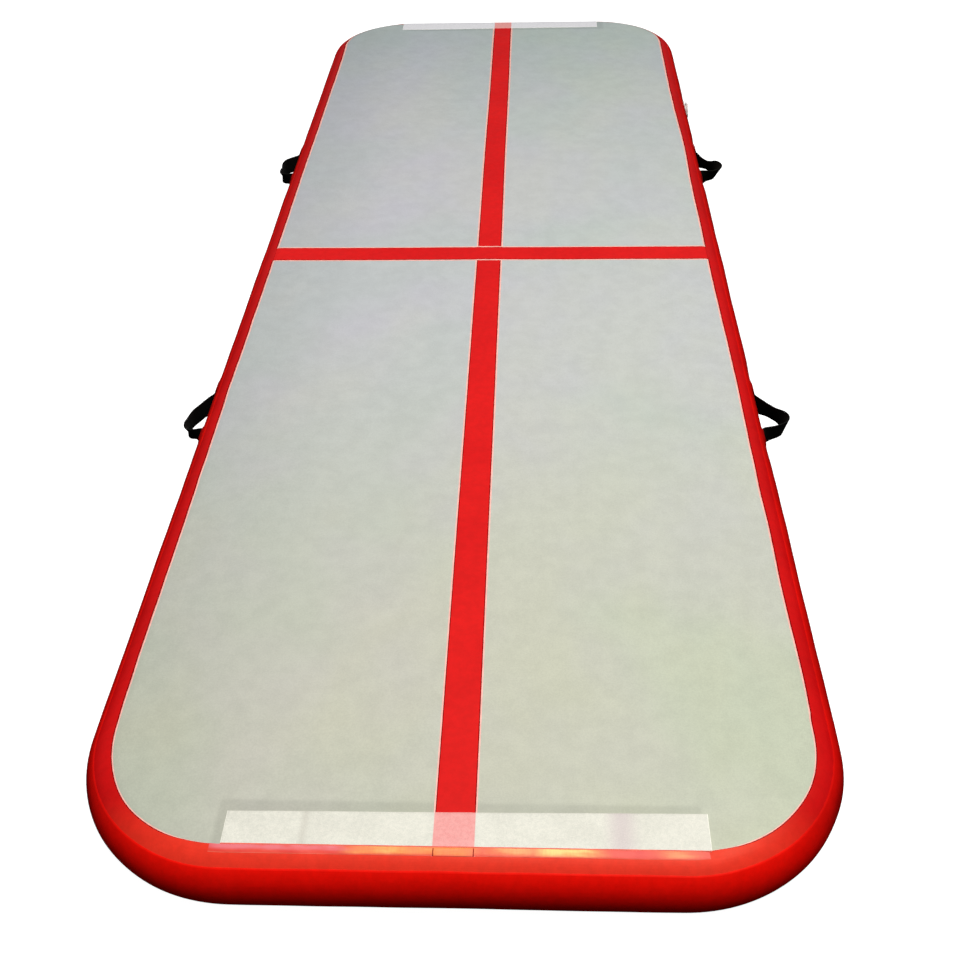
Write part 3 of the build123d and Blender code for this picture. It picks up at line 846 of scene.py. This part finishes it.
FILM_SINK = 0.05 * MM  # how far the films' undersides sink into what they lie on
STRIPE_GLUE = (1.8 * MM, 4.2 * MM)  # pale glue beside the centre stripe, at the front and the rear
STRIPE_CUT = (1.3 * MM, 2.4 * MM)


def lay_film(name, run, across, heights, looks, kinds, rim_kind=2, askew=0, **way):
    """A film with its upper face at those heights and its underside just sunk in."""
    top = lay(run, across, heights, **way)
    bottom = lay(run, across, np.full(len(across.T), -FILM_SINK), **way)
    for face in (top, bottom):
        face[:, :, 1] += askew
    return slab(name, top, bottom, looks, kinds, rim_kind)


def build_centre_stripe():
    """The stripe along the mat, with its rounded ends down over both shoulders."""
    halves = [half_run(0, HALF_Y, edge + LAP_EDGE - TAPE_EDGE, edge) for edge in END_EDGE.values()]
    run = both_ways(*halves)
    half = STRIPE_WIDTH / 2
    glue = widening(run[:, 0], *STRIPE_GLUE)
    cut = widening(run[:, 0], *STRIPE_CUT)
    places, heights, kinds = film_section(half, STRIPE, 9, glue, cut)
    keep = rounded(run, half, 9 * MM)[:, None]
    wander = 0.5 * MM * waves(np.stack([run[:, 0], run[:, 1] / 100], axis=1), 0.9, 61)[:, None]
    places = places * keep + wander * (np.abs(run[:, [0]]) < HALF_Y)
    # The tabs at its ends lie under the joining strips' clear backing.
    under = (run[:-1, 1] < -END_EDGE["front"]) | (run[:-1, 1] > END_EDGE["rear"])
    kinds = np.where(under[:, None] & (np.array(kinds) == 0), 3, np.tile(kinds, (len(run) - 1, 1)))
    looks = [RED_FILM, PALE_EDGE, DARK_EDGE, LAP_LOOK]
    stripe = lay_film("centre_stripe_film", run, places, heights, looks, kinds)
    settle(stripe, "mat", "centre_stripe")


def build_cross_stripe():
    """The stripe across the mat, a little behind its middle."""
    half_way = half_run(0, HALF_X, SIDE_EDGE + 0.4, SIDE_EDGE + 0.4, 6 * MM)
    run = both_ways(half_way, half_way)
    places, heights, kinds = film_section(CROSS_WIDTH / 2, STRIPE, 9, 3.6 * MM, 1.8 * MM)
    # It climbs over the centre stripe's two edges.
    over = smooth((STRIPE_WIDTH / 2 + 5 * MM - np.abs(run[:, [0]])) / (4 * MM))
    looks = [RED_FILM, PALE_EDGE, DARK_EDGE]
    kinds = np.tile(kinds, len(run) - 1)
    way = {"turned": True, "middle": CROSS_Y}
    stripe = lay_film("cross_stripe_film", run, places, heights + STRIPE * over, looks, kinds, **way)
    settle(stripe, "mat", "cross_stripe")


build_centre_stripe()
build_cross_stripe()

# ---- Joining strips at the ends, with their clear backing lapped over the border ----
HOOK_LENGTH = {"front": 591 * MM, "rear": 587 * MM}
HOOK_INNER = 1408.2 * MM  # from the mat's middle to the strips' inner edges
HOOK_SHIFT = {"front": 13 * MM, "rear": -10 * MM}
HOOK_TILT = 0.01
BACKING = 0.28 * MM
CREASE_X = -180 * MM
LAP_OVER = 12 * MM  # how far the lap runs past the strip on the left
LAP_SHORT = 5 * MM  # how far it stops short of the strip's end on the right
LAP_EVERY = 0.9  # degrees down the wall between its rows of points


def build_hook_strip(end):
    """The strip itself, thinner along its inner edge and where it runs out over the shoulder."""
    sign = FRONT_REAR[end]
    shift = HOOK_SHIFT[end]
    edge = END_EDGE[end]
    run = half_run(HOOK_INNER, HALF_Y, edge - 0.5, edge, 4 * MM)
    run = np.insert(run, 1, (HOOK_INNER + 0.8 * MM, 0, R_SKIN), axis=0)
    run = np.append(run, [(HALF_Y, edge - 0.1, R_SKIN)], axis=0) * (sign, sign, 1)
    places, heights, kinds = film_section(HOOK_LENGTH[end] / 2, HOOK, 190, 0.2 * MM)
    places = places[0]
    swell = 0.14 * MM * waves(np.stack([places, 0 * places], axis=1), 0.07, 71 if sign < 0 else 72)
    swell -= 0.35 * MM * np.exp(-(((places + shift - CREASE_X) / (4 * MM)) ** 2))
    heights = heights + swell * (heights > 0.5 * HOOK)
    share = np.ones((len(run), 1))
    share[0] = 0.55
    share[-2:, 0] = (0.95, 0.8)
    # It was laid slightly askew, which shows along its inner edge.
    askew = HOOK_TILT * places * (HALF_Y - np.abs(run[:, [0]])) / (HALF_Y - HOOK_INNER)
    kinds = np.tile(kinds, (len(run) - 1, 1))
    kinds[-2:] = 3
    looks = [HOOK_LOOK, HOOK_EDGE, HOOK_EDGE, LAP_RIM]
    name = f"{end}_hook_strip_film"
    strip = lay_film(name, run, places, heights * share, looks, kinds, 1, askew, middle=shift)
    settle(strip, "mat", f"{end}_hook_strip")


def build_hook_lap(end):
    """The backing's lap, which follows the border a little way into the rounded corners."""
    sign = FRONT_REAR[end]
    half = HOOK_LENGTH[end] / 2
    across = np.linspace(-half - LAP_OVER, half - LAP_SHORT, 150) + HOOK_SHIFT[end]
    bend = np.arcsin((across - np.clip(across, -STRAIGHT, STRAIGHT)) / LINE_CORNER)
    outs = np.stack([np.sin(bend), sign * np.cos(bend)], axis=1)
    places = np.stack([across, sign * (HALF_Y - LINE_CORNER * (1 - np.cos(bend)))], axis=1)
    angles = np.arange(END_EDGE[end] - 0.05, END_EDGE[end] + LAP_EDGE - TAPE_EDGE, LAP_EVERY)
    grid = np.stack(np.broadcast_arrays(across[:, None], angles / 400), axis=2).reshape(-1, 2)
    creep = (0.12 * MM * waves(grid, 0.05, 81)).reshape(len(across), len(angles))
    heights = np.maximum(BACKING + creep, 0.05 * MM)
    heights[:, -1] *= 0.35
    heights[[0, -1]] *= 0.5
    top = on_wall(angles, R_TAPE + heights, places, outs)
    bottom = on_wall(angles, R_TAPE - FILM_SINK, places, outs)
    kinds = np.zeros((len(across) - 1, len(angles) - 1), dtype=int)
    kinds[:, -1] = 1
    lap = slab(f"{end}_hook_backing", top, bottom, [LAP_LOOK, LAP_RIM], kinds)
    settle(lap, "mat", f"{end}_hook_strip")


for end in FRONT_REAR:
    build_hook_strip(end)
    build_hook_lap(end)

# ---- Handles ----
# Each loop's own lie: millimetres out from the wall and along it from the handle's middle.
LOOPS = {
    ("right", "front"): ((1, 50), (7, 42), (45, 2), (46, -24), (10, -45), (1, -52)),
    ("right", "rear"): ((1, 50), (8, 41), (26, 9), (43, 2), (46, -26), (11, -50), (1, -55)),
    ("left", "front"): ((1, 50), (7, 43), (19, 18), (30, 0), (34, -29), (26, -43), (12, -54), (1, -55)),
    ("left", "rear"): ((1, 50), (5, 45), (16, 35), (30, 23), (33, -7), (25, -36), (11, -53), (1, -55)),
}
# How far its webbing leans out at the top, in degrees, on its far leg, its tip and its near leg,
# and what share of the loop comes before its tip.
LEANS = {
    ("right", "front"): (-18, 9, 16, 0.5),
    ("right", "rear"): (-28, 22, 30, 0.5),
    ("left", "front"): (-9, -6, 30, 0.66),
    ("left", "rear"): (-4, -6, 30, 0.64),
}
LEG_STARTS = 0.18  # shares of the loop where each leg has its full lean, and how far
LEG_ENDS = 0.86  # to either side of the tip it still has it
TIP_SIDE = 0.14
LEAN_BLUR = 12  # points to either side that the lean is evened over
FOOT_END = 83.6  # millimetres from the handle's middle to the webbing's end
FOOT_KINK = 60.0  # and to where it bends away from the wall
HUG_REACH = 14  # millimetres out over which the webbing straightens
RIB = 2.1 * MM
RIB_DEPTH = 0.16 * MM
FOOT_PRESSED = 0.5  # share of its thickness the webbing loses where it is welded down
DROOP = 2.2 * MM  # how far the loop hangs, once it is as far out as the longest loop's tip
TIP_REACH = 46 * MM
# The webbing's section, from its middle out: shares of its half width and of its thickness.
SECTION = ((0, 1), (0.3, 1), (0.6, 1), (0.86, 0.98), (0.93, 1.06), (0.985, 0.85), (1, 0.45))


def cut_corners(points, times):
    """The line with its corners cut over and over, until it is a smooth curve."""
    points = np.array(points, dtype=float)
    for _ in range(times):
        early = 0.75 * points[:-1] + 0.25 * points[1:]
        late = 0.25 * points[:-1] + 0.75 * points[1:]
        middle = np.stack([early, late], axis=1).reshape(-1, 2)
        points = np.concatenate([points[:1], middle, points[-1:]])
    return points


def even(points, step):
    """Points along the line at an even step, with the way it runs at each."""
    lengths = np.concatenate([[0], np.cumsum(np.linalg.norm(np.diff(points, axis=0), axis=1))])
    distance = np.linspace(0, lengths[-1], round(lengths[-1] / step) + 1)
    line = np.column_stack([np.interp(distance, lengths, points[:, axis]) for axis in (0, 1)])
    way = np.gradient(line, axis=0)
    return line, way / np.linalg.norm(way, axis=1)[:, None], distance


def setback(z):
    """How far the round wall falls back from its foremost line at a height from its middle."""
    return R_WALL - np.sqrt(R_WALL**2 - z**2)


def build_handle(side, end):
    """One strap from foot to foot: flat on the wall, out round the loop and back."""
    sign = LEFT_RIGHT[side]
    lift = (WEBBING / 2 + 0.05 * MM) / MM
    loop = [(out + lift, along) for out, along in LOOPS[side, end]]
    path = [(lift, FOOT_END), (lift, FOOT_KINK), *loop, (lift, -FOOT_KINK), (lift, -FOOT_END)]
    line, way, distance = even(MM * cut_corners(path, 4), RIB / 4)
    normal = np.column_stack([way[:, 1], -way[:, 0]])
    low = [(-place, share) for place, share in reversed(SECTION[1:])]
    across, edge = np.array([*low, *SECTION]).T
    across = across * WEBBING_WIDTH / 2
    rib = 1 - RIB_DEPTH / WEBBING * (1 + np.cos(tau * distance / RIB))
    # The edge hugs the round wall at the feet and straightens as the strap leaves it.
    hug = np.clip(1 - (line[:, 0] / MM - lift) / HUG_REACH, 0, 1)[:, None]
    pressed = 1 - FOOT_PRESSED * hug
    thick = WEBBING / 2 * rib[:, None] * edge[None, :] * pressed
    sunk = WEBBING * FOOT_PRESSED * hug / 2
    droop = DROOP * np.clip(line[:, [0]] / TIP_REACH, 0, 1) ** 2
    free = distance[line[:, 0] / MM > lift + 1]
    share = (distance - free[0]) / (free[-1] - free[0])
    far, tip, near, tip_at = LEANS[side, end]
    places = (0, LEG_STARTS, tip_at - TIP_SIDE, tip_at, tip_at + TIP_SIDE, LEG_ENDS, 1)
    lean = np.interp(share, places, (0, far, far, tip, near, near, 0))
    window = 2 * LEAN_BLUR + 1
    lean = np.convolve(np.pad(lean, LEAN_BLUR, "edge"), np.full(window, 1 / window), "valid")
    lean = np.radians(lean)[:, None]

    def face(turn):
        aside = turn * thick * np.cos(lean) - across * np.sin(lean)
        out = line[:, [0]] + aside * normal[:, [0]] - hug * setback(across) - sunk
        along = line[:, [1]] + aside * normal[:, [1]]
        height = MID + across * np.cos(lean) + turn * thick * np.sin(lean) - droop
        return np.stack([sign * (WALL_X + out), HANDLE_Y[end] + along, height], axis=2)

    strap = slab(f"{side}_{end}_handle_strap", face(1), face(-1), [WEBBING_LOOK], sharp=60)
    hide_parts(f"{side}_{end}_handle_loop", f"{side}_{end}_handle_feet")
    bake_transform(strap)


PATCH_START = 57.4 * MM
PATCH_END = 97 * MM
PATCH_HALF = 31 * MM
PATCH_ROUND = 11 * MM
PATCH = 0.6 * MM
PATCH_SLOPE = 8 * MM  # how far it takes to come down from the webbing to the wall


def build_patch(side, end, way):
    """The patch glued over one foot: raised over the webbing and flat on the wall round it."""
    sign = LEFT_RIGHT[side]
    along = np.linspace(PATCH_START, PATCH_END, 30)
    ends = np.minimum(along - PATCH_START, PATCH_END - along)
    left = np.clip(ends, 0, PATCH_ROUND)
    reach = PATCH_HALF - PATCH_ROUND + np.sqrt(PATCH_ROUND**2 - (PATCH_ROUND - left) ** 2)
    z = np.linspace(-1, 1, 45)[None, :] * reach[:, None]
    over = smooth((WEBBING_WIDTH / 2 + PATCH_SLOPE - np.abs(z)) / PATCH_SLOPE)
    over = over * smooth((FOOT_END * MM + PATCH_SLOPE - along[:, None]) / PATCH_SLOPE)
    over = (WEBBING * FOOT_PRESSED + 0.2 * MM) * over
    at_rim = np.minimum(ends[:, None], (reach[:, None] - np.abs(z))) < 0.1 * MM
    y = HANDLE_Y[end] + way * along[:, None] + 0 * z

    def face(height):
        radius = R_WALL + height
        out = HALF_X + np.sqrt(radius**2 - z**2)
        return np.stack([sign * out, y, MID + z], axis=2)

    top = over + np.where(at_rim, 0.55 * PATCH, PATCH)
    name = f"{side}_{end}_handle_patch_{'far' if way > 0 else 'near'}"
    patch = slab(name, face(top), face(over - TUCK), [RED_PATCH, PATCH_RIM], rim_kind=1)
    settle(patch, "mat", f"{side}_{end}_handle_patches")


for side in LEFT_RIGHT:
    for end in FRONT_REAR:
        build_handle(side, end)
        for way in (-1, 1):
            build_patch(side, end, way)

# ---- Valve ----
def node_copy(name, node, look):
    """A piece of its own with the shape of a CAD node."""
    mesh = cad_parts[node].data.copy()
    mesh.materials.clear()
    mesh.materials.append(look)
    return placed(name, mesh)


def build_tether():
    """The cap's tether as a finer piece of its own, its long edges split. The real tether turns with
    its ring at one end and follows the cap at the other.
    """
    strap = node_copy("tether_strap_soft", "tether_strap", CAP_PLASTIC)
    fine = bmesh.new()
    fine.from_mesh(strap.data)
    bmesh.ops.remove_doubles(fine, verts=fine.verts, dist=0.01 * MM)
    for _ in range(3):
        long = [edge for edge in fine.edges if edge.calc_length() > 1.6 * MM]
        bmesh.ops.subdivide_edges(fine, edges=long, cuts=1)
        bmesh.ops.triangulate(fine, faces=fine.faces)
    fill(strap.data, fine)
    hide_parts("tether_strap")
    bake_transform(strap)


def build_spring():
    """The valve's spring as a smooth piece of its own on the spring's body. The real spring shortens
    towards its guide as the stem is pushed in.
    """
    coil = node_copy("valve_spring_coil", "valve_spring", SPRING_STEEL)
    coil.data.shade_smooth()
    settle(coil, "valve_spring", "valve_spring")
    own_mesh(coil)


build_tether()
build_spring()

NODE_LOOKS = {
    INNER_WALL: ["inner_side_wall"],
    YARN: ["drop_stitch_yarns"],
    RED_PATCH: ["valve_patch"],
    VALVE_PLASTIC: ["valve_body", "valve_nut"],
    CAP_PLASTIC: ["valve_cap", "tether_ring"],
    STEM_PLASTIC: ["valve_stem"],
    SEAL: ["valve_gasket", "cap_gasket", "valve_diaphragm"],
}
for look, names in NODE_LOOKS.items():
    for name in names:
        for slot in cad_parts[name].material_slots:
            slot.material = look


# ---- Stage, light and camera ----
STAGE = 30  # half the floor's width
LAMP_AT = (0.7, -1.1, 5.0)
LAMP_AIM = (0.1, -0.2, 0)
LAMP_SIZE = (3, 4)
LAMP_POWER = 304
EYE = (0.0927, -2.3182, 1.3638)
EYE_TURNS = ((0.0546, "Z"), (pi / 2 - 0.6802, "X"), (-0.0306, "Z"))  # left, down and tilted
LENS = 45.86


def build_stage():
    """A plain pale floor and a pale backdrop far behind it, which throw no light on the mat."""
    pale = Look("pale_floor", 0.9, Emission_Strength=0.97)
    pale.colour((0.4, 0.4, 0.4, 1))
    pale.shader.inputs["Emission Color"].default_value = (1, 1, 1, 1)
    square = STAGE * np.array([(-1, -1, 0), (1, -1, 0), (1, 1, 0), (-1, 1, 0)])
    floor = make_piece("floor", square, [(0, 1, 2, 3)], [pale.material])
    floor.location.z = -0.4 * MM
    turns = np.arange(48) * tau / 48
    rim = 0.98 * STAGE * np.stack([np.cos(turns), np.sin(turns)], axis=1)
    rings = [np.column_stack([rim, np.full(len(rim), z)]) for z in (-25, 25)]
    faces = quads(2, len(rim), round_columns=True)
    backdrop = make_piece("backdrop", np.concatenate(rings), faces, [pale.material])
    for stage in (floor, backdrop):
        stage.visible_diffuse = False
        stage.visible_glossy = False
        stage.visible_transmission = False
    backdrop.visible_shadow = False


def light_scene():
    """A large soft light overhead, a little to the near right, and a faint glow from above."""
    light = bpy.data.lights.new("overhead", "AREA")
    light.shape = "RECTANGLE"
    light.size, light.size_y = LAMP_SIZE
    light.energy = LAMP_POWER
    light.color = (1.0, 0.985, 0.96)
    lamp = placed("overhead", light)
    lamp.location = LAMP_AT
    way = Vector(LAMP_AIM) - Vector(LAMP_AT)
    lamp.rotation_euler = way.to_track_quat("-Z", "Y").to_euler()
    lamp.visible_camera = False
    world = bpy.data.worlds.new("glow")
    world.use_nodes = True
    bpy.context.scene.world = world
    tree = world.node_tree
    sky = tree.nodes.new("ShaderNodeTexCoord").outputs["Generated"]
    split = tree.nodes.new("ShaderNodeSeparateXYZ")
    fade = tree.nodes.new("ShaderNodeMapRange")
    fade.inputs["From Max"].default_value = 0.3
    fade.inputs["To Max"].default_value = 0.195
    glow = tree.nodes["Background"].inputs
    glow["Color"].default_value = (0.93, 0.97, 1.0, 1)
    tree.links.new(sky, split.inputs[0])
    tree.links.new(split.outputs["Z"], fade.inputs["Value"])
    tree.links.new(fade.outputs["Result"], glow["Strength"])


def place_camera():
    """The viewpoint: just above a standing person's waist, off the front end."""
    lens = bpy.data.cameras.new("camera")
    lens.lens = LENS
    lens.sensor_width = 36
    lens.clip_end = 200
    camera = placed("camera", lens)
    view = Matrix.Translation(EYE)
    for angle, axis in EYE_TURNS:
        view = view @ Matrix.Rotation(angle, 4, axis)
    camera.matrix_world = view
    bpy.context.scene.camera = camera


build_stage()
light_scene()
place_camera()
bpy.context.scene.view_settings.view_transform = "Standard"
bpy.context.scene.view_settings.look = "None"

bpy.context.view_layer.update()
